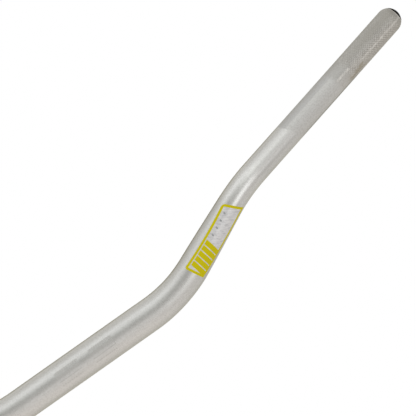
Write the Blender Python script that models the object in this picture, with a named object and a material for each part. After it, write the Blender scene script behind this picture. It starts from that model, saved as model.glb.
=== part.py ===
"""Bare off-road motorcycle handlebar: one swaged, bent aluminium tube, two end plugs and two riser labels.

The origin is the middle of the clamp section's axis. +X runs to the rider's left, +Y to the rear and +Z up.
Places on the tube are given as a path length along its centreline from the middle, and an angle round it
from the front (-Y) towards the underside.
"""

import math

import bmesh
import bpy
from mathutils import Matrix, Vector

# Driving dimensions, in metres and degrees.
OVERALL_WIDTH = 0.7796  # between the outermost points of the two ends
CLAMP_DIAMETER = 0.0286
GRIP_DIAMETER = 0.0222
WALL = 0.0039
CLAMP_STRAIGHT = 0.134  # straight run in the middle, where the fork's clamps grip
BEND_RADIUS = 0.130  # centreline radius of all four bends
RISER_STRAIGHT = 0.0575  # straight run between the two bends of one side
RISER_SLOPE = 24.6
GRIP_SLOPE = 12.9
GRIP_SWEEP = 13.0  # how far the grip turns to the rear, seen from above

TAPER = (  # path length and outer radius where the swaged tube's slope changes
    (0.068, CLAMP_DIAMETER / 2),
    (0.100, 0.01370),
    (0.118, 0.01362),
    (0.140, 0.01312),
    (0.188, 0.01140),
    (0.225, GRIP_DIAMETER / 2),
)

NOSE_OPENING_RADIUS = 0.0081  # where the rounded end stops in a flat ring
GAP = 0.0003  # between two pieces that touch

PLUG_STEM_LENGTH = 0.016
PLUG_STEM_RADIUS = 0.0057
PLUG_HOLLOW_RADIUS = 0.0040
PLUG_HOLLOW_DEPTH = 0.013
PLUG_RIB_COUNT = 3
PLUG_RIB_PITCH = 0.0036
PLUG_RIB_WIDTH = 0.0014
PLUG_FLAT_RADIUS = 0.0030  # small flat in the middle of the dome

LABEL_START = 0.1171  # path length of the label's inner end, at its top edge
LABEL_TOP_LENGTH = 0.0640
LABEL_INNER_SLANT = 0.0018  # how much further out the inner end's foot is than its top
LABEL_OUTER_SLANT = 0.0066
LABEL_WIDTH = 0.0196  # round the tube
LABEL_DROP = 0.0034  # from the tube's front line down to the middle of the label's ends
LABEL_BOW = 0.0012  # how much lower the label hangs half way along
LABEL_CORNER = 0.0025
LABEL_THICKNESS = 0.0003

SIDES = 32  # facets round the tube
PLUG_SIDES = 28
ARC_STEP = 2.5  # degrees of bend between two rings
TAPER_STEP = 0.011  # most between two rings where a straight stretch thins
NOSE_STEPS = 6

# What follows from them.
CLAMP_RADIUS = CLAMP_DIAMETER / 2
GRIP_RADIUS = GRIP_DIAMETER / 2
BORE_RADIUS = GRIP_RADIUS - WALL
NOSE_FACE = math.sqrt(GRIP_RADIUS**2 - NOSE_OPENING_RADIUS**2)  # the ring's distance past the nose's centre

UP = Vector((0, 0, 1))
MIDDLE_DIRECTION = Vector((1, 0, 0))
RISER_DIRECTION = Vector((math.cos(math.radians(RISER_SLOPE)), 0, math.sin(math.radians(RISER_SLOPE))))
GRIP_DIRECTION = Vector(
    (
        math.cos(math.radians(GRIP_SLOPE)) * math.cos(math.radians(GRIP_SWEEP)),
        math.cos(math.radians(GRIP_SLOPE)) * math.sin(math.radians(GRIP_SWEEP)),
        math.sin(math.radians(GRIP_SLOPE)),
    )
)


def left_centreline():
    """The left half's stretches: (path at its start, length, start point, direction, turn axis or None)."""
    stretches = []
    path, point = 0.0, Vector((0, 0, 0))

    def straight(length, direction):
        nonlocal path, point
        stretches.append((path, length, point.copy(), direction, None))
        path += length
        point = point + direction * length

    def bend(before, after):
        nonlocal path, point
        turn = before.angle(after)
        axis = before.cross(after).normalized()
        stretches.append((path, BEND_RADIUS * turn, point.copy(), before, axis))
        path += BEND_RADIUS * turn
        inward = axis.cross(before)
        point = point + BEND_RADIUS * (math.sin(turn) * before + (1 - math.cos(turn)) * inward)

    straight(CLAMP_STRAIGHT / 2, MIDDLE_DIRECTION)
    bend(MIDDLE_DIRECTION, RISER_DIRECTION)
    straight(RISER_STRAIGHT, RISER_DIRECTION)
    bend(RISER_DIRECTION, GRIP_DIRECTION)
    nose_centre_x = OVERALL_WIDTH / 2 - GRIP_RADIUS
    straight((nose_centre_x - point.x) / GRIP_DIRECTION.x, GRIP_DIRECTION)
    return stretches


LEFT = left_centreline()
NOSE_CENTRE_PATH = LEFT[-1][0] + LEFT[-1][1]


def centreline(path):
    """Point and direction of travel towards +X at a signed path length from the middle."""
    start_path, _, start, direction, axis = [s for s in LEFT if s[0] <= abs(path) + 1e-9][-1]
    run = abs(path) - start_path
    if axis is None:
        point = start + direction * run
    else:
        turned = run / BEND_RADIUS
        inward = axis.cross(direction)
        point = start + BEND_RADIUS * (math.sin(turned) * direction + (1 - math.cos(turned)) * inward)
        direction = Matrix.Rotation(turned, 3, axis) @ direction
    if path < 0:
        return Vector((-point.x, point.y, point.z)), Vector((direction.x, -direction.y, -direction.z))
    return point, direction.copy()


def tube_radius(path):
    """Outer radius of the tube, up to the start of its rounded ends."""
    for (start, thick), (end, thin) in zip(TAPER, TAPER[1:]):
        if abs(path) < end:
            return thick + (thin - thick) * max(abs(path) - start, 0.0) / (end - start)
    return GRIP_RADIUS


def on_tube(path, angle, radius):
    """A point at an angle round the centreline, from the front towards the underside."""
    point, direction = centreline(path)
    up = (UP - direction * UP.dot(direction)).normalized()
    front = direction.cross(up)
    return point + radius * (math.cos(angle) * front - math.sin(angle) * up)


def ring_paths():
    """Signed path lengths of the tube's rings, from the right nose's centre to the left one's."""
    half = []
    for start, length, _, _, axis in LEFT:
        if axis is not None:
            steps = math.ceil(math.degrees(length / BEND_RADIUS) / ARC_STEP)
            half += [start + length * (i + 1) / steps for i in range(steps)]
            continue
        stops = [start] + [path for path, _ in TAPER if start < path < start + length] + [start + length]
        for low, high in zip(stops, stops[1:]):
            thins = tube_radius(low) != tube_radius(high)
            steps = math.ceil((high - low) / TAPER_STEP) if thins else 1
            half += [low + (high - low) * (i + 1) / steps for i in range(steps)]
    return [-path for path in reversed(half)] + half


def nose_rings(side):
    """(path, radius) of the rounded end's rings, from the grip's end to the flat ring round its mouth."""
    last = math.asin(NOSE_FACE / GRIP_RADIUS)
    angles = [last * (i + 1) / NOSE_STEPS for i in range(NOSE_STEPS)]
    reaches = [side * (NOSE_CENTRE_PATH + GRIP_RADIUS * math.sin(angle)) for angle in angles]
    return [(reach, GRIP_RADIUS * math.cos(angle)) for reach, angle in zip(reaches, angles)]


def material(name, colour, roughness, metallic):
    made = bpy.data.materials.new(name)
    made.use_nodes = True
    shader = made.node_tree.nodes["Principled BSDF"]
    shader.inputs["Base Color"].default_value = (*colour, 1.0)
    shader.inputs["Roughness"].default_value = roughness
    shader.inputs["Metallic"].default_value = metallic
    return made


def smooth_mesh(name, bm, surface):
    """Closes the bmesh into a mesh whose faces point out, smooth but for its real edges."""
    bmesh.ops.recalc_face_normals(bm, faces=bm.faces)
    mesh = bpy.data.meshes.new(name)
    bm.to_mesh(mesh)
    bm.free()
    mesh.shade_smooth()
    mesh.set_sharp_from_angle(angle=math.radians(30))
    mesh.materials.append(surface)
    return mesh


def place(name, mesh):
    made = bpy.data.objects.new(name, mesh)
    bpy.context.scene.collection.objects.link(made)
    return made


def join_rings(bm, rings, closed):
    """Quads between each ring of vertices and the next, and back to the first where closed."""
    pairs = list(zip(rings, rings[1:]))
    if closed:
        pairs.append((rings[-1], rings[0]))
    for one, other in pairs:
        for i in range(len(one)):
            j = (i + 1) % len(one)
            bm.faces.new((one[i], one[j], other[j], other[i]))


def bar_tube(surface):
    """The hollow tube: its outside from right to left, and back through the bore."""
    outside = [(path, tube_radius(path)) for path in ring_paths()]
    outside = list(reversed(nose_rings(-1))) + outside + nose_rings(1)
    mouth = NOSE_CENTRE_PATH + NOSE_FACE
    bore = [(path, tube_radius(path) - WALL) for path in ring_paths()[1:-1]]
    bore = [(-mouth, BORE_RADIUS)] + bore + [(mouth, BORE_RADIUS)]
    bm = bmesh.new()
    rings = []
    for path, radius in outside + list(reversed(bore)):
        angles = [math.tau * i / SIDES for i in range(SIDES)]
        rings.append([bm.verts.new(on_tube(path, angle, radius)) for angle in angles])
    join_rings(bm, rings, closed=True)
    place("bar_tube", smooth_mesh("bar_tube", bm, surface))


def plug_profile():
    """(radius, height) of the plug's section above the nose's centre, from the hollow's end to the dome."""
    head_base = NOSE_FACE + GAP
    stem_end = head_base - PLUG_STEM_LENGTH
    profile = [(PLUG_HOLLOW_RADIUS, stem_end + PLUG_HOLLOW_DEPTH), (PLUG_HOLLOW_RADIUS, stem_end)]
    profile.append((PLUG_STEM_RADIUS - GAP, stem_end))
    for i in range(PLUG_RIB_COUNT):
        low = stem_end + PLUG_RIB_WIDTH + i * PLUG_RIB_PITCH
        profile.append((PLUG_STEM_RADIUS, low))
        profile.append((BORE_RADIUS - GAP, low + PLUG_RIB_WIDTH * 0.7))
        profile.append((BORE_RADIUS - GAP, low + PLUG_RIB_WIDTH))
        profile.append((PLUG_STEM_RADIUS, low + PLUG_RIB_WIDTH))
    profile.append((PLUG_STEM_RADIUS, head_base))
    first = math.acos(head_base / GRIP_RADIUS)
    last = math.asin(PLUG_FLAT_RADIUS / GRIP_RADIUS)
    steps = 5
    for i in range(steps + 1):
        angle = first + (last - first) * i / steps
        profile.append((GRIP_RADIUS * math.sin(angle), GRIP_RADIUS * math.cos(angle)))
    return profile


def end_plugs(surface):
    """Two push-in plugs that share one turned mesh, with its origin at the nose's centre."""
    bm = bmesh.new()
    rings = []
    for radius, height in plug_profile():
        angles = [math.tau * i / PLUG_SIDES for i in range(PLUG_SIDES)]
        rings.append([bm.verts.new((radius * math.cos(a), radius * math.sin(a), height)) for a in angles])
    join_rings(bm, rings, closed=False)
    bm.faces.new(rings[0])
    bm.faces.new(rings[-1])
    mesh = smooth_mesh("end_plug", bm, surface)
    for name, side in (("end_plug_left", 1), ("end_plug_right", -1)):
        point, direction = centreline(side * NOSE_CENTRE_PATH)
        plug = place(name, mesh)
        plug.location = point
        plug.rotation_mode = "QUATERNION"
        plug.rotation_quaternion = (side * direction).to_track_quat("Z", "Y")


def label_ends(drop):
    """Path lengths where the label starts and ends, at a distance round the tube below its top edge."""
    start = LABEL_START + LABEL_INNER_SLANT * drop / LABEL_WIDTH
    end = LABEL_START + LABEL_TOP_LENGTH + LABEL_OUTER_SLANT * drop / LABEL_WIDTH
    if drop < LABEL_CORNER:
        cut = LABEL_CORNER - math.sqrt(LABEL_CORNER**2 - (LABEL_CORNER - drop) ** 2)
        start, end = start + cut, end - cut
    return start, end


def label(name, side, surface):
    """A thin shell wrapped round the front of one riser, with rounded corners at its top edge."""
    columns = 10
    corner_rows = [LABEL_CORNER * (1 - math.cos(math.radians(a))) for a in (0, 30, 60, 90)]
    plain_rows = 6
    plain = LABEL_WIDTH - LABEL_CORNER
    drops = corner_rows + [LABEL_CORNER + plain * (i + 1) / plain_rows for i in range(plain_rows)]
    bm = bmesh.new()
    layers = []
    for lift in (GAP, GAP + LABEL_THICKNESS):
        rows = []
        for drop in drops:
            start, end = label_ends(drop)
            row = []
            for i in range(columns + 1):
                share = i / columns
                path = start + (end - start) * share
                radius = tube_radius(path)
                middle = LABEL_DROP + LABEL_BOW * 4 * share * (1 - share)
                angle = (middle - LABEL_WIDTH / 2 + drop) / radius
                row.append(bm.verts.new(on_tube(side * path, angle, radius + lift)))
            rows.append(row)
        layers.append(rows)
    inner, outer = layers
    for rows in layers:
        for row, below in zip(rows, rows[1:]):
            for i in range(columns):
                bm.faces.new((row[i], row[i + 1], below[i + 1], below[i]))
    rim_inner = inner[0] + [row[-1] for row in inner[1:-1]] + inner[-1][::-1]
    rim_inner += [row[0] for row in inner[-2:0:-1]]
    rim_outer = outer[0] + [row[-1] for row in outer[1:-1]] + outer[-1][::-1]
    rim_outer += [row[0] for row in outer[-2:0:-1]]
    join_rings(bm, [rim_inner, rim_outer], closed=False)
    place(name, smooth_mesh(name, bm, surface))


def main():
    for old in list(bpy.data.objects):
        bpy.data.objects.remove(old)
    aluminium = material("silver_anodised_aluminium", (0.77, 0.76, 0.745), 0.34, 1.0)
    plastic = material("black_plastic", (0.012, 0.012, 0.012), 0.45, 0.0)
    film = material("silver_label_film", (0.62, 0.61, 0.65), 0.25, 0.0)
    bar_tube(aluminium)
    end_plugs(plastic)
    label("decal_left", 1, film)
    label("decal_right", -1, film)


main()
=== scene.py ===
"""Looks of a bare tapered off-road handlebar: satin silver tube, riser labels and black end plugs.

The row frame's origin is the middle of the clamp section's axis, with +X to the rider's left, +Y to the
rear and +Z up. A place on the tube is a path length along its centreline from the middle, and an angle
round it from the front (-Y) towards the underside. All lengths are in metres.
"""

import math

import bpy
import numpy as np
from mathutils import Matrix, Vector


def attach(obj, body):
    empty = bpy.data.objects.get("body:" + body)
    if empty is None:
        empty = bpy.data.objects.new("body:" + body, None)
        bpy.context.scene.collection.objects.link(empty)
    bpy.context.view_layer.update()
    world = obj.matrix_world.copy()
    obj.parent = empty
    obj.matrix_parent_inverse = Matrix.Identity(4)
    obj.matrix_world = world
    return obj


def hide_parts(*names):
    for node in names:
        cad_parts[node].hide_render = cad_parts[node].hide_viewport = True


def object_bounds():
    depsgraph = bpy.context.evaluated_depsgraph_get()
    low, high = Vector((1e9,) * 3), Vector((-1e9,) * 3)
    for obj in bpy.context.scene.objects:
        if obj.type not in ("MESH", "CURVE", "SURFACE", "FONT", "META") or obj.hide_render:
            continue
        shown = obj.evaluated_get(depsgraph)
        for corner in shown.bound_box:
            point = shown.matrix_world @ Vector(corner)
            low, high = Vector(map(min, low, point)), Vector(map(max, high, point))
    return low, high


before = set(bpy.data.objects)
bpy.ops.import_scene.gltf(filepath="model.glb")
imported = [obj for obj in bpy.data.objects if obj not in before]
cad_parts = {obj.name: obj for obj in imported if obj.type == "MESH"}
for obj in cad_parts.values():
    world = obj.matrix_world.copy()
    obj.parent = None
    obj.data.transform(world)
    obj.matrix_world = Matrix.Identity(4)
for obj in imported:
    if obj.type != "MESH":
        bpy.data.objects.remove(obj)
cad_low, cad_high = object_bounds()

# The tube's design, as the CAD has it.
CLAMP_RADIUS = 0.0143
GRIP_RADIUS = 0.0111
WALL = 0.0039
CLAMP_STRAIGHT = 0.134
BEND_RADIUS = 0.130
RISER_STRAIGHT = 0.0575
RISER_SLOPE = math.radians(24.6)
GRIP_SLOPE = math.radians(12.9)
GRIP_SWEEP = math.radians(13.0)
TAPER = (  # path length and outer radius where the swaged tube's slope changes
    (0.068, CLAMP_RADIUS),
    (0.100, 0.01370),
    (0.118, 0.01362),
    (0.140, 0.01312),
    (0.188, 0.01140),
    (0.225, GRIP_RADIUS),
)
TAPER_BLEND = 0.008  # how far each change of slope is rounded off, to either side
NOSE_OPENING_RADIUS = 0.0081
BORE_RADIUS = GRIP_RADIUS - WALL
NOSE_FACE = math.sqrt(GRIP_RADIUS**2 - NOSE_OPENING_RADIUS**2)
NOSE_CENTRE_X = cad_high.x - GRIP_RADIUS

# The tube's fine surface.
KNURL_DIAMONDS = 28  # round the tube
COLUMNS = 4 * KNURL_DIAMONDS
ROW_STEP = 0.0022
NOSE_ROWS = 18  # on the plain right end
KNURL_LENGTH = 0.0870  # from the start of the knurl to the tip
KNURL_FIRST_ANGLE = math.radians(-60)  # the knurl starts first on this side
KNURL_LAG = 0.0016  # how much later it starts a quarter turn from there
KNURL_PITCH = 0.0023  # one diamond along the tube
KNURL_CREST = 0.00004  # above the plain surface
KNURL_GROOVE = 0.00016  # below it
KNURL_WEAR = 1.5  # how much fuller than a sharp pyramid each diamond is
KNURL_FADE_IN = 0.020  # how far the knurl takes to reach its full depth
KNURL_FADE_OUT = 0.0012  # how far before the mouth's chamfer it runs out

MOUTH_CHAMFER = 0.0006  # how much wider the chamfer round the mouth starts than the opening
MOUTH_RISE = 0.00048  # how far out the mouth's flat ring is from the chamfer's start
MOUTH_EASE = 0.0002  # how far the ring is rounded off at both its edges
BORE_EASE = 0.0003  # how far inside the ring the bore begins
BORE_STATIONS = 90

# The tube's finish. A reach is (start, end, soft edge) and a band is (first angle, last angle, soft edge),
# with angles in degrees from the front towards the underside.
RIM_LENGTH = 0.0044  # from where the painted highlight round the mouth's rim starts to the tip
MATTE_LENGTH = 0.1444  # from where the polished finish stops to the tip
MATTE_SLANT = -0.0040  # how much further in the matte finish starts on top than in front
POLISH_AND_HIGHLIGHT_REACH = (0.174, 0.228, 0.018)  # along the path, on the second bend, where the polish is finest and a painted highlight brightens the colour
EDGE_SHADE_REACH = (0.266, 0.350, 0.014)  # along the path, for the painted shade on the grip's underside edge
EDGE_SHADE_BAND = (58.0, 115.0, 14.0)
# Painted shade on the knurl's top front, between these angles:
KNURL_SHADE_BAND = (-62.0, 8.0, 30.0)
# The grip's inner and outer streaks below are painted highlights.
INNER_LINE_REACH = (0.0675, 0.0860, 0.003)  # from the tip, as the outer line's and the stain's
INNER_LINE_BAND = (-3.0, 13.0, 6.0)
OUTER_LINE_BAND = (15.0, 31.0, 8.0)
OUTER_LINE_START = (0.066, 0.046)  # from the tip, where it fades in
STAIN_REACH = (0.049, 0.078, 0.008)
STAIN_BAND = (28.0, 66.0, 10.0)

HATCH_REACH = (0.0056, 0.0295, 0.0006)  # the etched grids, from the middle to either side
HATCH_PITCH = 0.0012
HATCH_BANDS = ((-25.5, -14.0, 1.5), (-11.0, 3.5, 1.5))
HATCH_LINE = (11.0, 15.5, 1.5)
TICK_PITCH = 0.0022
TICK_BAND = (26.5, 32.0, 1.5)

# The riser labels.
LABEL_START = 0.1171  # path length of the inner end, at the top edge
LABEL_TOP_LENGTH = 0.0640
LABEL_INNER_SLANT = 0.0018  # how much further out the inner end's foot is than its top
LABEL_OUTER_SLANT = 0.0066
LABEL_WIDTH = 0.0196  # round the tube
LABEL_DROP = 0.0034  # from the tube's front line down to the middle of the label's ends
LABEL_BOW = 0.0012  # how much lower the label hangs half way along
LABEL_CORNER = 0.0025
LABEL_LIFT = 0.00003  # of its underside above the tube
LABEL_THICKNESS = 0.00022
LABEL_EDGE = 0.00009  # width and height of the bevel round its outer face
LABEL_BORDER = 0.0022  # width of the printed border
LABEL_COLUMNS = 64

# The label's print: rows of plain leaning bars. The first bar starts this far along the label's top edge.
BAR_LEAN = 0.21
YELLOW_BARS = {"first": 0.0063, "pitch": 0.00525, "width": 0.0045, "count": 5, "top": 0.0029, "foot": 0.0176}
PALE_BARS = {"first": 0.0336, "pitch": 0.0066, "width": 0.0044, "count": 5, "top": 0.0066, "foot": 0.0170}
GREY_DASHES = {"first": 0.0370, "pitch": 0.0070, "width": 0.0020, "count": 4, "top": 0.0040, "foot": 0.0066}

# The end plugs.
PLUG_SIDES = 64
PLUG_STEM_LENGTH = 0.016
PLUG_STEM_RADIUS = 0.0057
PLUG_STEM_CHAMFER = (0.0005, 0.0006)  # inwards and along, at the stem's end
PLUG_HOLLOW_RADIUS = 0.0040
PLUG_HOLLOW_DEPTH = 0.013
PLUG_RIBS = 3
PLUG_RIB_PITCH = 0.0036
PLUG_FIRST_RIB = 0.0014  # from the stem's end
PLUG_RIB = ((0.0057, 0.0), (0.0069, 0.0010), (0.0069, 0.0014), (0.0057, 0.0015))  # radius and height
PLUG_SEAT = 0.0003  # of the dome above the tube's flat ring
PLUG_EDGE = (0.0002, 0.0003)  # how far the dome's foot is chamfered, inwards and along
PLUG_FLAT_RADIUS = 0.0030
PLUG_RING_RADIUS = 0.0062  # a shallow groove round the dome
PLUG_RING_HALF_WIDTH = 0.0004
PLUG_RING_DEPTH = 0.00018
PLUG_DIMPLE = ((0.0011, 0.0), (0.0008, 0.00035), (0.0003, 0.00045))  # radius and depth below the flat
DOME_STATIONS = 22

FLOOR_RADIUS = 1.20
FLOOR_HEIGHT = -0.45
FLOOR_FADE = (0.25, 0.98)  # shares of the radius between which the floor melts away
FLOOR_FAINTEST = 0.45  # how far it has melted away already in its middle

# The camera's view: the rider's left half from the front, rolled so that the clamp section climbs.
CAMERA_LENS = 507.93  # millimetres, as the sensor's width
CAMERA_SENSOR = 36
CAMERA_DISTANCE = 5.0
CAMERA_ROLL = math.radians(35.16)
CAMERA_AIM = Vector((0.1594, 0.0, 0.04579))


def unit(v):
    return v / np.linalg.norm(v)


MIDDLE_DIRECTION = np.array((1.0, 0.0, 0.0))
RISER_DIRECTION = np.array((math.cos(RISER_SLOPE), 0.0, math.sin(RISER_SLOPE)))
GRIP_DIRECTION = np.array(
    (
        math.cos(GRIP_SLOPE) * math.cos(GRIP_SWEEP),
        math.cos(GRIP_SLOPE) * math.sin(GRIP_SWEEP),
        math.sin(GRIP_SLOPE),
    )
)


def left_centreline():
    """The left half's stretches: (path at its start, length, start point, direction, direction after)."""
    stretches = []
    path, point = 0.0, np.zeros(3)
    runs = (
        (MIDDLE_DIRECTION, CLAMP_STRAIGHT / 2),
        (RISER_DIRECTION, RISER_STRAIGHT),
        (GRIP_DIRECTION, None),
    )
    for i, (direction, length) in enumerate(runs):
        if length is None:
            length = (NOSE_CENTRE_X - point[0]) / direction[0]
        stretches.append((path, length, point, direction, None))
        path += length
        point = point + direction * length
        if i + 1 < len(runs):
            after = runs[i + 1][0]
            turn = math.acos(direction @ after)
            inward = unit(after - direction * (after @ direction))
            stretches.append((path, BEND_RADIUS * turn, point, direction, inward))
            path += BEND_RADIUS * turn
            point = point + BEND_RADIUS * (math.sin(turn) * direction + (1 - math.cos(turn)) * inward)
    return stretches


LEFT = left_centreline()
NOSE_CENTRE_PATH = LEFT[-1][0] + LEFT[-1][1]
TIP_PATH = NOSE_CENTRE_PATH + GRIP_RADIUS


def centreline(paths):
    """Points, directions and up vectors of the centreline at an array of signed path lengths."""
    paths = np.asarray(paths, float)
    points = np.zeros((len(paths), 3))
    directions = np.zeros((len(paths), 3))
    for start_path, _, start, direction, inward in LEFT:
        here = np.abs(paths) >= start_path - 1e-9
        run = (np.abs(paths[here]) - start_path)[:, None]
        if inward is None:
            points[here] = start + direction * run
            directions[here] = direction
        else:
            turned = run / BEND_RADIUS
            points[here] = start + BEND_RADIUS * (np.sin(turned) * direction + (1 - np.cos(turned)) * inward)
            directions[here] = np.cos(turned) * direction + np.sin(turned) * inward
    right = paths < 0
    points[right] *= (-1, 1, 1)
    directions[right] *= (1, -1, -1)
    ups = np.array((0.0, 0.0, 1.0)) - directions * directions[:, 2:3]
    ups /= np.linalg.norm(ups, axis=1)[:, None]
    return points, directions, ups


def tube_radius(paths):
    near = np.abs(paths)[..., None] + np.linspace(-TAPER_BLEND, TAPER_BLEND, 9)
    return np.interp(near, *zip(*TAPER)).mean(axis=-1)


def wrap(paths, angles, radii):
    """Points on rings round the centreline; the three arrays broadcast against each other."""
    paths, angles, radii = np.broadcast_arrays(paths, angles, radii)
    points, directions, ups = centreline(paths.ravel())
    fronts = np.cross(directions, ups)
    around = np.cos(angles).ravel()[:, None] * fronts - np.sin(angles).ravel()[:, None] * ups
    return (points + radii.ravel()[:, None] * around).reshape(*paths.shape, 3)


def mesh_object(name, points, faces, uvs, smooth, surface, sharp_degrees=35):
    """A mesh piece from arrays; uvs holds one (u, v) for each face corner, or is None."""
    mesh = bpy.data.meshes.new(name)
    mesh.from_pydata(points.tolist(), [], faces)
    if uvs is not None:
        layer = mesh.uv_layers.new(name="surface")
        layer.data.foreach_set("uv", np.asarray(uvs, np.float32).ravel())
    mesh.polygons.foreach_set("use_smooth", np.broadcast_to(smooth, len(mesh.polygons)).astype(bool))
    mesh.set_sharp_from_angle(angle=math.radians(sharp_degrees))
    mesh.materials.append(surface)
    made = bpy.data.objects.new(name, mesh)
    bpy.context.scene.collection.objects.link(made)
    return made


# ---------------------------------------------------------------- materials


class Nodes:
    """Builds the node tree of a material or a world with short calls."""

    def __init__(self, owner, shader="Principled BSDF"):
        owner.use_nodes = True
        self.owner = owner
        self.tree = owner.node_tree
        self.shader = self.tree.nodes[shader]

    def node(self, kind, **settings):
        made = self.tree.nodes.new(kind)
        for key, value in settings.items():
            setattr(made, key, value)
        return made

    def feed(self, socket, value):
        if isinstance(value, bpy.types.NodeSocket):
            self.tree.links.new(value, socket)
        elif isinstance(value, tuple) and len(value) == 3 and socket.type == "RGBA":
            socket.default_value = (*value, 1.0)
        else:
            socket.default_value = value

    def math(self, operation, *values):
        made = self.node("ShaderNodeMath", operation=operation)
        for socket, value in zip(made.inputs, values):
            self.feed(socket, value)
        return made.outputs[0]

    def vector(self, x, y, z):
        made = self.node("ShaderNodeCombineXYZ")
        for socket, value in zip(made.inputs, (x, y, z)):
            self.feed(socket, value)
        return made.outputs[0]

    def step(self, value, low, high, start=0.0, end=1.0):
        """A smooth ramp from start to end while value goes from low to high."""
        made = self.node("ShaderNodeMapRange", interpolation_type="SMOOTHSTEP")
        for socket, given in zip(made.inputs, (value, low, high, start, end)):
            self.feed(socket, given)
        return made.outputs[0]

    def between(self, value, low, high, soft):
        """1 where the value lies between low and high, with soft edges inside them."""
        return self.math("MULTIPLY", self.step(value, low, low + soft), self.step(value, high, high - soft))

    def noise(self, vector, scale, detail=2.0, roughness=0.5):
        made = self.node("ShaderNodeTexNoise")
        self.feed(made.inputs["Vector"], vector)
        self.feed(made.inputs["Scale"], scale)
        self.feed(made.inputs["Detail"], detail)
        self.feed(made.inputs["Roughness"], roughness)
        return made.outputs["Fac"]

    def mix(self, factor, first, second):
        made = self.node("ShaderNodeMix", data_type="RGBA")
        colours = [s for s in made.inputs if s.type == "RGBA"]
        self.feed(made.inputs[0], factor)
        self.feed(colours[0], first)
        self.feed(colours[1], second)
        return [s for s in made.outputs if s.type == "RGBA"][0]

    def bump(self, height, distance, strength=1.0, normal=None):
        made = self.node("ShaderNodeBump")
        self.feed(made.inputs["Height"], height)
        self.feed(made.inputs["Distance"], distance)
        self.feed(made.inputs["Strength"], strength)
        if normal is not None:
            self.feed(made.inputs["Normal"], normal)
        return made.outputs["Normal"]

    def surface_uv(self):
        made = self.node("ShaderNodeUVMap", uv_map="surface")
        split = self.node("ShaderNodeSeparateXYZ")
        self.feed(split.inputs[0], made.outputs["UV"])
        return split.outputs[0], split.outputs[1]

    def set(self, **sockets):
        for key, value in sockets.items():
            self.feed(self.shader.inputs[key.replace("_", " ")], value)


class TubeNodes(Nodes):
    """Nodes that know a place on the tube: its path length, its angle and its distance from the left tip."""

    def __init__(self, owner):
        super().__init__(owner)
        self.place = self.node("ShaderNodeTexCoord").outputs["Object"]
        self.path, turn = self.surface_uv()
        self.angle = self.math("MULTIPLY", turn, math.tau)
        self.across = self.math("COSINE", self.angle)
        self.down = self.math("SINE", self.angle)
        self.from_tip = self.math("SUBTRACT", TIP_PATH, self.path)

    def ringed(self, to_metre, to_radian, detail=3.0, roughness=0.5):
        """Noise that runs seamlessly round the tube, by its features to a metre and a radian."""
        counts = ((self.path, to_metre), (self.across, to_radian), (self.down, to_radian))
        where = self.vector(*(self.math("MULTIPLY", value, count) for value, count in counts))
        return self.noise(where, 1.0, detail, roughness)

    def band(self, low, high, soft):
        """1 between two angles round the tube, in degrees from the front."""
        return self.between(self.angle, *(math.radians(degrees) for degrees in (low, high, soft)))


def matte_zone(n):
    """Mask of the matte finish, from its slanted, wandering border to the tip."""
    wander = n.math("MULTIPLY_ADD", n.ringed(90.0, 2.2, 2.0), 0.0016, -0.0008)
    border = n.math("ADD", n.math("MULTIPLY_ADD", n.down, MATTE_SLANT, MATTE_LENGTH), wander)
    return n.step(n.math("SUBTRACT", border, n.from_tip), 0.0, 0.0016)


def plain_silver(n, clouds, polish_and_highlight, matte):
    """Colour of the plain tube: a painted highlight brightens the polished second bend, and painted shade
    darkens the top of the matte zone.
    """
    drawn = n.ringed(16.0, 7.0, 3.0, 0.55)
    silver = n.mix(clouds, (0.742, 0.742, 0.742), (0.782, 0.780, 0.775))
    silver = n.mix(n.step(drawn, 0.35, 0.75), silver, (0.725, 0.722, 0.715))
    # Painted highlight: the polished second bend is brightened in colour.
    silver = n.mix(n.math("MULTIPLY", polish_and_highlight, 0.45), silver, (0.865, 0.862, 0.855))
    # Painted shade: the matte zone is darkened on top.
    shaded = n.math("MULTIPLY", matte, n.step(n.angle, math.radians(-27.0), math.radians(-33.0)))
    return n.mix(n.math("MULTIPLY", shaded, 0.9), silver, (0.640, 0.640, 0.645))


def knurl_silver(n):
    """Colour of the knurl: mottled, with painted shade on its top and front, painted light underneath, darker
    towards the tip, and dirt and painted shade in its grooves.
    """
    mottle = n.noise(n.place, 260.0, 3.0, 0.6)
    underneath = n.step(n.angle, math.radians(-12.0), math.radians(24.0))
    # Painted shade and painted light: the top gets a darker copy of the mottled colour, the underside a
    # lighter one.
    top_with_shade = n.mix(n.step(mottle, 0.3, 0.7), (0.605, 0.598, 0.585), (0.725, 0.715, 0.700))
    underside_with_light = n.mix(n.step(mottle, 0.3, 0.7), (0.720, 0.705, 0.680), (0.880, 0.865, 0.840))
    # Painted shade: the top front darkens more towards the tip.
    top_front_shade = n.math("MULTIPLY", n.band(*KNURL_SHADE_BAND), n.step(n.from_tip, 0.070, 0.030, 0.30, 0.80))
    top_with_shade = n.mix(top_front_shade, top_with_shade, (0.490, 0.473, 0.440))
    shaded_knurl = n.mix(underneath, top_with_shade, underside_with_light)
    # Darker towards the tip.
    shaded_knurl = n.mix(n.step(n.from_tip, 0.065, 0.030, 0.0, 0.20), shaded_knurl, (0.55, 0.535, 0.50))
    # Where the knurl is still shallow: painted shade on top, painted light underneath.
    shallow = n.mix(underneath, (0.625, 0.620, 0.610), (0.715, 0.705, 0.690))
    shaded_knurl = n.mix(n.step(n.from_tip, KNURL_LENGTH - 0.010, KNURL_LENGTH - 0.022), shallow, shaded_knurl)
    side = n.node("ShaderNodeAttribute", attribute_name="groove").outputs["Fac"]
    # Dirt and painted shade in the grooves, stronger underneath.
    groove_dirt_and_shade = n.math("MULTIPLY", n.step(side, 0.20, 0.95), n.math("MULTIPLY_ADD", underneath, 0.45, 0.35))
    return n.mix(groove_dirt_and_shade, shaded_knurl, (0.42, 0.40, 0.37))


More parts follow.
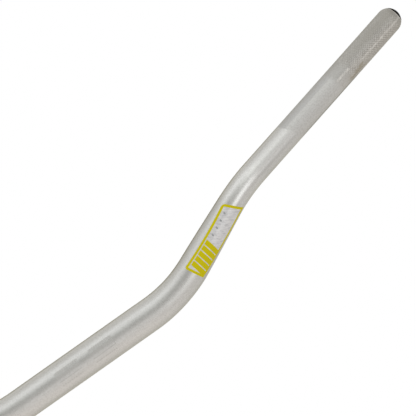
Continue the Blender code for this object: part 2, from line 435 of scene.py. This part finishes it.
def with_grip_marks(n, silver):
    """The grip's painted highlight streaks and stain, and painted shade along its underside edge, laid over
    its colour.
    """
    # Painted highlights: two bright streaks along the grip, broken up by noise.
    inner_line = n.math("MULTIPLY", n.band(*INNER_LINE_BAND), n.between(n.from_tip, *INNER_LINE_REACH))
    outer_line = n.math("MULTIPLY", n.band(*OUTER_LINE_BAND), n.step(n.from_tip, *OUTER_LINE_START))
    broken = n.step(n.noise(n.place, 300.0, 3.0), 0.30, 0.75, 0.30, 0.90)
    highlight_streaks = n.math("MULTIPLY", n.math("MAXIMUM", inner_line, outer_line), broken)
    silver = n.mix(highlight_streaks, silver, (0.97, 0.955, 0.93))
    stain = n.math("MULTIPLY", n.between(n.from_tip, *STAIN_REACH), n.band(*STAIN_BAND))
    stain = n.math("MULTIPLY", stain, n.step(n.ringed(140.0, 3.0), 0.35, 0.6))
    silver = n.mix(n.math("MULTIPLY", stain, 0.6), silver, (0.42, 0.37, 0.27))
    # Painted shade: a dark band along the underside edge of the grip.
    edge_shade = n.math("MULTIPLY", n.between(n.path, *EDGE_SHADE_REACH), n.band(*EDGE_SHADE_BAND))
    return n.mix(n.math("MULTIPLY", edge_shade, 0.75), silver, (0.42, 0.41, 0.385))


def etched_grids(n):
    """Mask of two grids etched at the clamp, each of two ruled bands, a single line and a row of ticks."""
    out = n.math("ABSOLUTE", n.path)
    arc = n.math("MULTIPLY", n.angle, CLAMP_RADIUS)
    rules = n.step(n.math("PINGPONG", arc, HATCH_PITCH / 2), HATCH_PITCH * 0.16, HATCH_PITCH * 0.24)
    ticks = n.step(n.math("PINGPONG", out, TICK_PITCH / 2), TICK_PITCH * 0.14, TICK_PITCH * 0.22)
    grid = n.math("MAXIMUM", rules, ticks)
    bands = n.math("MULTIPLY", grid, n.math("MAXIMUM", *(n.band(*edges) for edges in HATCH_BANDS)))
    marks = n.math("MAXIMUM", n.band(*HATCH_LINE), n.math("MULTIPLY", ticks, n.band(*TICK_BAND)))
    return n.math("MULTIPLY", n.math("MAXIMUM", bands, marks), n.between(out, *HATCH_REACH))


def aluminium():
    """Satin silver anodising over fine turning marks, with a matte grip end and two etched grids."""
    n = TubeNodes(bpy.data.materials.new("silver_anodised_aluminium"))
    grain = n.noise(n.place, 760.0, 3.0, 0.65)
    brushing = n.ringed(2600.0, 1.2, 3.0, 0.6)
    clouds = n.ringed(55.0, 1.3)
    # The second bend: finer polish, and a painted highlight in its colour.
    polish_and_highlight = n.between(n.path, *POLISH_AND_HIGHLIGHT_REACH)
    matte = matte_zone(n)
    knurl = n.step(n.from_tip, KNURL_LENGTH + 0.002, KNURL_LENGTH - 0.005)
    rim = n.step(n.from_tip, RIM_LENGTH, RIM_LENGTH - 0.0003)
    etched = etched_grids(n)

    silver = n.mix(knurl, plain_silver(n, clouds, polish_and_highlight, matte), knurl_silver(n))
    silver = with_grip_marks(n, silver)
    # Painted highlight: a bright pinkish line round the mouth's rim.
    silver = n.mix(rim, silver, (0.93, 0.89, 0.88))
    silver = n.mix(n.step(grain, 0.38, 0.68, 0.0, 0.30), silver, (0.45, 0.44, 0.42))
    silver = n.mix(n.math("MULTIPLY", etched, 0.65), silver, (0.58, 0.575, 0.565))

    # Gloss: the polish is brightest at the second bend and dulls from there towards the matte zone.
    dulling = n.step(n.path, 0.215, 0.262, 0.0, 0.05)
    roughness = n.math("ADD", n.math("MULTIPLY_ADD", clouds, 0.06, 0.225), dulling)
    for mask, change in ((polish_and_highlight, -0.035), (matte, 0.22), (knurl, 0.02), (etched, 0.28)):
        roughness = n.math("MULTIPLY_ADD", mask, change, roughness)
    roughness = n.math("MULTIPLY_ADD", brushing, 0.05, roughness)
    roughness = n.math("MULTIPLY_ADD", rim, -0.15, roughness)
    n.set(Metallic=1.0, Base_Color=silver, Roughness=roughness)
    relief = n.bump(brushing, 0.000004, 0.5)
    relief = n.bump(grain, 0.000020, n.math("MULTIPLY_ADD", matte, 0.45, 0.30), relief)
    relief = n.bump(n.math("SUBTRACT", 1.0, etched), 0.00002, 0.6, relief)
    n.set(Normal=relief)
    return n.owner


def black_plastic():
    """Moulded black plastic with a fine spark-eroded grain and a dusty bloom."""
    n = Nodes(bpy.data.materials.new("black_plastic"))
    place = n.node("ShaderNodeTexCoord").outputs["Object"]
    grain = n.noise(place, 3200.0, 3.0)
    bloom = n.noise(place, 260.0, 3.0)
    colour = n.mix(grain, (0.006, 0.006, 0.007), (0.013, 0.013, 0.014))
    n.set(Base_Color=n.mix(n.step(bloom, 0.5, 0.8, 0.0, 0.25), colour, (0.030, 0.029, 0.028)))
    n.set(Roughness=n.math("MULTIPLY_ADD", grain, 0.15, n.math("MULTIPLY_ADD", bloom, 0.15, 0.42)))
    n.set(Specular_IOR_Level=0.18, Normal=n.bump(grain, 0.00002, 0.35))
    return n.owner


def label_border(n, along, drop):
    """Mask of the border printed along the label's edges and round its two upper corners."""
    lean = n.math("MULTIPLY", drop, 1.0 / LABEL_WIDTH)
    left = n.math("MULTIPLY_ADD", lean, -LABEL_INNER_SLANT, along)
    right = n.math("SUBTRACT", n.math("MULTIPLY_ADD", lean, LABEL_OUTER_SLANT, LABEL_TOP_LENGTH), along)
    end = n.math("MINIMUM", left, right)
    corner_x = n.math("MAXIMUM", n.math("SUBTRACT", LABEL_CORNER, end), 0.0)
    corner_y = n.math("MAXIMUM", n.math("SUBTRACT", LABEL_CORNER, drop), 0.0)
    corner = n.math("SQRT", n.math("ADD", n.math("POWER", corner_x, 2.0), n.math("POWER", corner_y, 2.0)))
    from_foot = n.math("SUBTRACT", LABEL_WIDTH, drop)
    margin = n.math("MINIMUM", n.math("SUBTRACT", LABEL_CORNER, corner), from_foot)
    return n.step(margin, LABEL_BORDER + 0.00006, LABEL_BORDER - 0.00006)


def leaning_bars(n, along, drop, soft, first, pitch, width, count, top, foot):
    """Mask of a row of leaning bars: first is where the first one starts at the label's top edge."""
    x = n.math("MULTIPLY_ADD", drop, BAR_LEAN, n.math("SUBTRACT", along, first))
    part = n.math("MULTIPLY", n.math("FRACT", n.math("MULTIPLY", x, 1 / pitch)), pitch)
    row = n.math("MULTIPLY", n.between(part, 0.0, width, soft), n.between(x, 0.0, pitch * count, soft))
    return n.math("MULTIPLY", row, n.between(drop, top, foot, soft))


def label_film():
    """Clear-coated silver film with a yellow border, five yellow bars, and faint silver and grey marks."""
    n = Nodes(bpy.data.materials.new("printed_label_film"))
    along, drop = n.surface_uv()
    place = n.node("ShaderNodeTexCoord").outputs["Object"]
    fibre = n.noise(place, 1300.0, 4.0, 0.6)
    ripple = n.noise(place, 260.0, 2.0)
    shear = n.math("MULTIPLY_ADD", drop, -0.6, along)
    streaks = n.vector(n.math("MULTIPLY", shear, 620.0), n.math("MULTIPLY", drop, 210.0), 0.0)
    creases = n.noise(streaks, 1.0, 4.0, 0.62)
    bars = leaning_bars(n, along, drop, 0.00008, **YELLOW_BARS)
    yellow = n.math("MAXIMUM", label_border(n, along, drop), bars)
    pale = leaning_bars(n, along, drop, 0.0004, **PALE_BARS)
    dashes = leaning_bars(n, along, drop, 0.0005, **GREY_DASHES)
    silver = n.mix(n.step(creases, 0.30, 0.70), (0.66, 0.66, 0.69), (0.92, 0.92, 0.94))
    silver = n.mix(n.step(fibre, 0.45, 0.75, 0.0, 0.45), silver, (0.60, 0.60, 0.63))
    silver = n.mix(n.math("MULTIPLY", pale, 0.30), silver, (0.95, 0.95, 0.97))
    dashes = n.math("MULTIPLY", dashes, n.step(creases, 0.35, 0.6, 0.4, 0.85))
    silver = n.mix(dashes, silver, (0.30, 0.31, 0.32))
    ink = n.mix(n.step(fibre, 0.40, 0.70), (0.725, 0.670, 0.0), (0.725, 0.570, 0.0))
    n.set(Base_Color=n.mix(yellow, silver, ink))
    n.set(Metallic=n.math("MULTIPLY_ADD", yellow, -0.60, 0.60))
    n.set(Roughness=n.math("MULTIPLY_ADD", fibre, 0.12, 0.42))
    n.set(Coat_Weight=n.math("MULTIPLY_ADD", yellow, -0.07, 0.12), Coat_Roughness=0.20)
    n.set(Specular_IOR_Level=n.math("MULTIPLY_ADD", yellow, -0.22, 0.35))
    print_relief = n.bump(n.math("ADD", yellow, n.math("MULTIPLY", fibre, 0.3)), 0.00003, 0.5)
    n.set(Normal=n.bump(ripple, 0.00006, 0.3, print_relief))
    return n.owner


# ---------------------------------------------------------------- pieces


def nose_profile(arcs):
    """Path lengths, radii and outward directions of rows at arc lengths round the left rounded end."""
    angles = arcs / GRIP_RADIUS
    outward = np.stack((np.sin(angles), np.cos(angles)), axis=-1)
    return NOSE_CENTRE_PATH + GRIP_RADIUS * outward[:, 0], GRIP_RADIUS * outward[:, 1], outward


def tube_profile(paths):
    outward = np.tile((0.0, 1.0), (len(paths), 1))
    return paths, tube_radius(paths), outward


def mouth_profile():
    """Path lengths and radii from the left rounded end's chamfer into the bore."""
    edge = math.sqrt(GRIP_RADIUS**2 - (NOSE_OPENING_RADIUS + MOUTH_CHAMFER) ** 2)
    face = NOSE_CENTRE_PATH + edge + MOUTH_RISE
    reach = np.array((face, face, face, face - BORE_EASE))
    radii = (NOSE_OPENING_RADIUS, NOSE_OPENING_RADIUS - MOUTH_EASE, BORE_RADIUS + MOUTH_EASE, BORE_RADIUS)
    return reach, np.array(radii), np.tile((0.0, 0.0), (4, 1))


def mirrored(profile):
    """A profile of the left end as one of the right end, in the order that runs towards the middle."""
    paths, radii, outward = profile
    return -paths[::-1], radii[::-1], outward[::-1] * (-1, 1)


def knurl_depth(stations, length, angles):
    """Share of its full depth that the knurl has, at distances from its start and angles round the tube."""
    lag = KNURL_LAG * (1 - np.cos(angles - KNURL_FIRST_ANGLE))
    fade_in = (stations[:, None] - lag[None, :]) / KNURL_FADE_IN
    fade_out = (length - stations[:, None]) / KNURL_FADE_OUT
    return np.clip(np.minimum(fade_in, fade_out), 0, 1)


def diamonds(rows, columns):
    """Heights of a diamond knurl with blunted crests, 0 in its grooves and 1 on its crests, at every quarter
    diamond.
    """
    grid_rows, grid_columns = np.arange(rows)[:, None], np.arange(columns)[None, :]
    flanks = [np.abs((grid_rows + turn * grid_columns) % 4 - 2) for turn in (1, -1)]
    return np.minimum(1, KNURL_WEAR * (1 - np.maximum(*flanks) / 2))


def knurl_stations():
    """Distances from the knurl's start, four to a diamond, and how much of it lies on the straight grip."""
    nose_arc = GRIP_RADIUS * math.acos((NOSE_OPENING_RADIUS + MOUTH_CHAMFER) / GRIP_RADIUS)
    straight = NOSE_CENTRE_PATH - (TIP_PATH - KNURL_LENGTH)
    length = straight + nose_arc
    return np.linspace(0.0, length, 4 * round(length / KNURL_PITCH) + 1)[1:], straight, nose_arc


def tube_rings():
    """The skin's rings from the right end over the left one and back through the bore.

    Gives their path lengths, radii and outward directions, and which of them are knurled.
    """
    stations, straight, nose_arc = knurl_stations()
    knurl_start = TIP_PATH - KNURL_LENGTH
    right = np.linspace(-NOSE_CENTRE_PATH, 0.0, math.ceil(NOSE_CENTRE_PATH / ROW_STEP) + 1)
    left = np.linspace(0.0, knurl_start, math.ceil(knurl_start / ROW_STEP) + 1)[1:]
    bore = np.linspace(NOSE_CENTRE_PATH, -NOSE_CENTRE_PATH, BORE_STATIONS)
    sections = (
        mirrored(nose_profile(np.linspace(0, nose_arc, NOSE_ROWS + 1)[1:])),
        tube_profile(np.concatenate((right, left))),
        tube_profile(knurl_start + stations[stations < straight]),
        nose_profile(stations[stations >= straight] - straight),
        mouth_profile(),
        (bore, tube_radius(bore) - WALL, np.tile((0.0, 0.0), (len(bore), 1))),
        mirrored(mouth_profile()),
    )
    first_knurled = len(sections[0][0]) + len(sections[1][0])
    paths, radii, outward = (np.concatenate(part) for part in zip(*sections))
    return paths, radii, outward, np.arange(first_knurled, first_knurled + len(stations))


def tube_faces(paths, height, knurled):
    """The skin's faces, their corners' (u, v) and which are smooth. Knurled quads fold along their crests."""
    faces, corners, smooth = [], [], []
    for row in range(len(paths)):
        after = (row + 1) % len(paths)
        in_knurl = knurled[0] < after <= knurled[-1]
        for column in range(COLUMNS):
            beside = (column + 1) % COLUMNS
            around = ((row, column), (after, column), (after, beside), (row, beside))
            place = [r * COLUMNS + c for r, c in around]
            u = (paths[row], paths[after])
            v = (column / COLUMNS - 0.5, (column + 1) / COLUMNS - 0.5)
            uv = [(u[0], v[0]), (u[1], v[0]), (u[1], v[1]), (u[0], v[1])]
            picks = ((0, 1, 2, 3),)
            if in_knurl:
                on_crest = max(height[corner] for corner in around) == 1
                falling = (row - knurled[0] + column) % 2 == (1 if on_crest else 0)
                picks = ((0, 1, 2), (0, 2, 3)) if falling else ((0, 1, 3), (1, 2, 3))
            for pick in picks:
                faces.append([place[i] for i in pick])
                corners += [uv[i] for i in pick]
                smooth.append(not in_knurl)
    return faces, corners, smooth


def handlebar_tube(surface):
    """The tube in one closed skin: rounded ends, knurled clutch grip and bore."""
    paths, radii, outward, knurled = tube_rings()
    stations = knurl_stations()[0]
    angles = math.tau * (np.arange(COLUMNS) / COLUMNS - 0.5)
    height, lift, groove = (np.zeros((len(paths), COLUMNS)) for _ in range(3))
    height[knurled] = diamonds(len(knurled), COLUMNS)
    depth = knurl_depth(stations, stations[-1], angles)
    lift[knurled] = depth * (KNURL_CREST * height[knurled] - KNURL_GROOVE * (1 - height[knurled]))
    groove[knurled] = depth * (1 - height[knurled])
    along = paths[:, None] + lift * outward[:, :1]
    points = wrap(along, angles[None, :], radii[:, None] + lift * outward[:, 1:]).reshape(-1, 3)
    faces, corners, smooth = tube_faces(paths, height, knurled)
    made = mesh_object("tapered_tube", points, faces, corners, smooth, surface)
    made.data.attributes.new("groove", "FLOAT", "POINT").data.foreach_set("value", groove.ravel())
    return made


def turned(name, profile, segments, origin, axis, surface):
    """A solid turned about an axis from (radius, height) points, closed with a flat disc at both ends."""
    profile = np.array(profile)
    across = unit(np.cross((0.0, 0.0, 1.0), axis))
    angles = math.tau * np.arange(segments) / segments
    around = np.cos(angles)[:, None] * across + np.sin(angles)[:, None] * np.cross(axis, across)
    points = origin + profile[:, None, :1] * around[None] + profile[:, None, 1:] * axis
    faces = [list(range(segments))[::-1]]
    for row in range(len(profile) - 1):
        for i in range(segments):
            j = (i + 1) % segments
            low, high = row * segments, (row + 1) * segments
            faces.append([low + i, low + j, high + j, high + i])
    last = (len(profile) - 1) * segments
    faces.append([last + i for i in range(segments)])
    return mesh_object(name, points.reshape(-1, 3), faces, None, True, surface)


def end_plug(name, side, surface):
    """A push-in plug: a hollow ribbed stem in the bore and a dome that carries on the rounded end."""
    base = NOSE_FACE + PLUG_SEAT
    stem_end = base - PLUG_STEM_LENGTH
    profile = [
        (PLUG_HOLLOW_RADIUS, stem_end + PLUG_HOLLOW_DEPTH),
        (PLUG_HOLLOW_RADIUS, stem_end),
        (PLUG_STEM_RADIUS - PLUG_STEM_CHAMFER[0], stem_end),
        (PLUG_STEM_RADIUS, stem_end + PLUG_STEM_CHAMFER[1]),
    ]
    for i in range(PLUG_RIBS):
        foot = stem_end + PLUG_FIRST_RIB + i * PLUG_RIB_PITCH
        profile += [(radius, foot + height) for radius, height in PLUG_RIB]
    profile += [(PLUG_STEM_RADIUS, base), (NOSE_OPENING_RADIUS - PLUG_EDGE[0], base)]
    first = math.acos((base + PLUG_EDGE[1]) / GRIP_RADIUS)
    last = math.asin(PLUG_FLAT_RADIUS / GRIP_RADIUS)
    for angle in np.linspace(first, last, DOME_STATIONS):
        from_ring = abs(GRIP_RADIUS * math.sin(angle) - PLUG_RING_RADIUS)
        radius = GRIP_RADIUS - PLUG_RING_DEPTH * max(0.0, 1 - from_ring / PLUG_RING_HALF_WIDTH)
        profile.append((radius * math.sin(angle), radius * math.cos(angle)))
    top = profile[-1][1]
    profile += [(radius, top - depth) for radius, depth in PLUG_DIMPLE]
    points, directions, _ = centreline([side * NOSE_CENTRE_PATH])
    return turned(name, profile, PLUG_SIDES, points[0], side * directions[0], surface)


def label_rows(inset):
    """(drops, starts, ends) of a label's rows, with the outline moved in by inset."""
    corner = LABEL_CORNER - inset
    bends = inset + corner * (1 - np.cos(np.radians(np.linspace(0, 90, 9))))
    plain = np.linspace(LABEL_CORNER, LABEL_WIDTH - inset, 20)[1:]
    drops = np.concatenate((bends, plain))
    cut = np.where(
        drops < LABEL_CORNER, corner - np.sqrt(np.maximum(corner**2 - (LABEL_CORNER - drops) ** 2, 0)), 0
    )
    starts = LABEL_INNER_SLANT * drops / LABEL_WIDTH + inset + cut
    ends = LABEL_TOP_LENGTH + LABEL_OUTER_SLANT * drops / LABEL_WIDTH - inset - cut
    return drops, starts, ends


def film_faces(rows, columns):
    """Faces of a film from three grids of points: underside, edge and outer face."""
    width = columns + 1
    size = rows * width
    faces = []
    for layer, flip in ((0, True), (2, False)):
        for r in range(rows - 1):
            for c in range(columns):
                a = layer * size + r * width + c
                face = [a, a + width, a + width + 1, a + 1]
                faces.append(face[::-1] if flip else face)
    rim = list(range(width))
    rim += [r * width + columns for r in range(1, rows)]
    rim += [(rows - 1) * width + i for i in range(columns - 1, -1, -1)]
    rim += [r * width for r in range(rows - 2, 0, -1)]
    for low, high in ((0, 1), (1, 2)):
        for a, b in zip(rim, rim[1:] + rim[:1]):
            faces.append([low * size + a, low * size + b, high * size + b, high * size + a][::-1])
    return faces


def riser_label(name, side, surface):
    """A thick printed film wrapped round the front of one riser."""
    share = np.arange(LABEL_COLUMNS + 1) / LABEL_COLUMNS
    middle = LABEL_DROP + LABEL_BOW * 4 * share * (1 - share)
    top = LABEL_LIFT + LABEL_THICKNESS
    layers, corners = [], []
    for inset, lift in ((0, LABEL_LIFT), (0, top - LABEL_EDGE), (LABEL_EDGE, top)):
        drops, starts, ends = label_rows(inset)
        along = starts[:, None] + (ends - starts)[:, None] * share[None, :]
        radius = tube_radius(LABEL_START + along)
        angle = (middle[None, :] - LABEL_WIDTH / 2 + drops[:, None]) / radius
        layers.append(wrap(side * (LABEL_START + along), angle, radius + lift).reshape(-1, 3))
        corners.append(np.stack(np.broadcast_arrays(along, drops[:, None]), -1).reshape(-1, 2))
    points, uv = np.concatenate(layers), np.concatenate(corners)
    faces = film_faces(len(drops), LABEL_COLUMNS)
    if side < 0:
        faces = [face[::-1] for face in faces]

    # The edge's grid is used only at its rim, so the rest of its points go.
    used = np.zeros(len(points), bool)
    used[[i for face in faces for i in face]] = True
    number = np.cumsum(used) - 1
    faces = [[int(number[i]) for i in face] for face in faces]
    points, uv = points[used], uv[used]
    flat = [uv[i] for face in faces for i in face]
    return mesh_object(name, points, faces, flat, True, surface)


# ---------------------------------------------------------------- stage


def floor():
    """A pale disc well below the part, which melts into the white studio towards its rim."""
    middle = (0, 0, FLOOR_HEIGHT)
    bpy.ops.mesh.primitive_circle_add(vertices=128, radius=FLOOR_RADIUS, fill_type="NGON", location=middle)
    made = bpy.context.object
    made.name = "floor"
    made.visible_glossy = made.visible_diffuse = made.visible_shadow = False
    n = Nodes(bpy.data.materials.new("pale_floor"))
    n.set(Base_Color=(0.80, 0.79, 0.77), Roughness=0.9)
    from_middle = n.node("ShaderNodeVectorMath", operation="LENGTH")
    n.feed(from_middle.inputs[0], n.node("ShaderNodeTexCoord").outputs["Object"])
    fade = n.node("ShaderNodeMixShader")
    fade_from, fade_to = (FLOOR_RADIUS * share for share in FLOOR_FADE)
    n.feed(fade.inputs[0], n.step(from_middle.outputs["Value"], fade_from, fade_to, FLOOR_FAINTEST))
    n.feed(fade.inputs[1], n.shader.outputs[0])
    n.feed(fade.inputs[2], n.node("ShaderNodeBsdfTransparent").outputs[0])
    n.feed(n.tree.nodes["Material Output"].inputs["Surface"], fade.outputs[0])
    made.data.materials.append(n.owner)


# The studio's soft lights, and the dimmer parts of the room: (direction, tightness, colour to add).
STUDIO_FILL = (0.745, 0.74, 0.715)
STUDIO_LIGHTS = (
    ((-0.14, -0.45, 0.88), 15.8, (0.25, 0.26, 0.27)),  # overhead softbox
    ((0.27, -0.84, 0.46), 9.8, (1.26, 1.28, 1.25)),  # softbox above the camera
    ((0.09, -0.91, 0.41), 9.8, (-0.98, -0.98, -0.96)),  # its shaded left half
    ((0.45, -0.84, -0.31), 27.0, (1.32, 1.36, 1.37)),  # lamp low in front
    ((0.58, -0.77, -0.26), 55.7, (-1.23, -1.29, -1.32)),  # the lamp's hard right edge
    ((0.75, -0.66, -0.06), 3.2, (-0.42, -0.43, -0.42)),  # dark room to the right
    ((-0.20, 0.98, -0.01), 2.0, (-0.53, -0.55, -0.61)),  # dark room behind the object
    ((-0.56, -0.22, -0.80), 3.0, (0.18, 0.13, 0.10)),  # warm bounce from below
    ((0.10, 0.75, 0.65), 12.0, (0.30, 0.30, 0.30)),  # softbox high behind the object
    ((-0.05, 0.93, 0.37), 16.0, (-0.20, -0.20, -0.20)),  # dark gap under it
    ((0.05, 0.90, -0.43), 12.0, (0.20, 0.20, 0.20)),  # bounce low behind the object
)


def studio_light():
    """A pale studio lit by a few broad soft lights, which the camera itself sees as plain white."""
    world = bpy.data.worlds.new("studio")
    bpy.context.scene.world = world
    n = Nodes(world, "Background")
    looking = n.node("ShaderNodeTexCoord").outputs["Generated"]
    total = STUDIO_FILL
    for direction, tightness, colour in STUDIO_LIGHTS:
        facing = n.node("ShaderNodeVectorMath", operation="DOT_PRODUCT")
        n.feed(facing.inputs[0], looking)
        n.feed(facing.inputs[1], Vector(direction).normalized())
        falloff = n.math("MULTIPLY_ADD", facing.outputs["Value"], tightness, -tightness)
        added = n.node("ShaderNodeVectorMath", operation="MULTIPLY_ADD")
        for socket, value in zip(added.inputs, (colour, n.math("EXPONENT", falloff), total)):
            n.feed(socket, value)
        total = added.outputs[0]
    by_camera = n.node("ShaderNodeLightPath").outputs["Is Camera Ray"]
    n.set(Color=n.mix(by_camera, total, (1.0, 1.0, 1.0)))


def camera():
    data = bpy.data.cameras.new("camera")
    data.lens = CAMERA_LENS
    data.sensor_width = CAMERA_SENSOR
    made = bpy.data.objects.new("camera", data)
    bpy.context.scene.collection.objects.link(made)
    made.location = CAMERA_AIM + Vector((0, -CAMERA_DISTANCE, 0))
    made.rotation_euler = (math.radians(90), CAMERA_ROLL, 0)
    bpy.context.scene.camera = made


def main():
    tube = handlebar_tube(aluminium())
    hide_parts("bar_tube")
    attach(tube, "root")
    plastic, film = black_plastic(), label_film()
    for side, word in ((1, "left"), (-1, "right")):
        plug = end_plug(f"plug_{word}", side, plastic)
        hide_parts(f"end_plug_{word}")
        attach(plug, "root")
        label = riser_label(f"riser_label_{word}", side, film)
        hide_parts(f"decal_{word}")
        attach(label, "root")
    floor()
    studio_light()
    camera()
    bpy.context.scene.view_settings.view_transform = "Standard"


main()
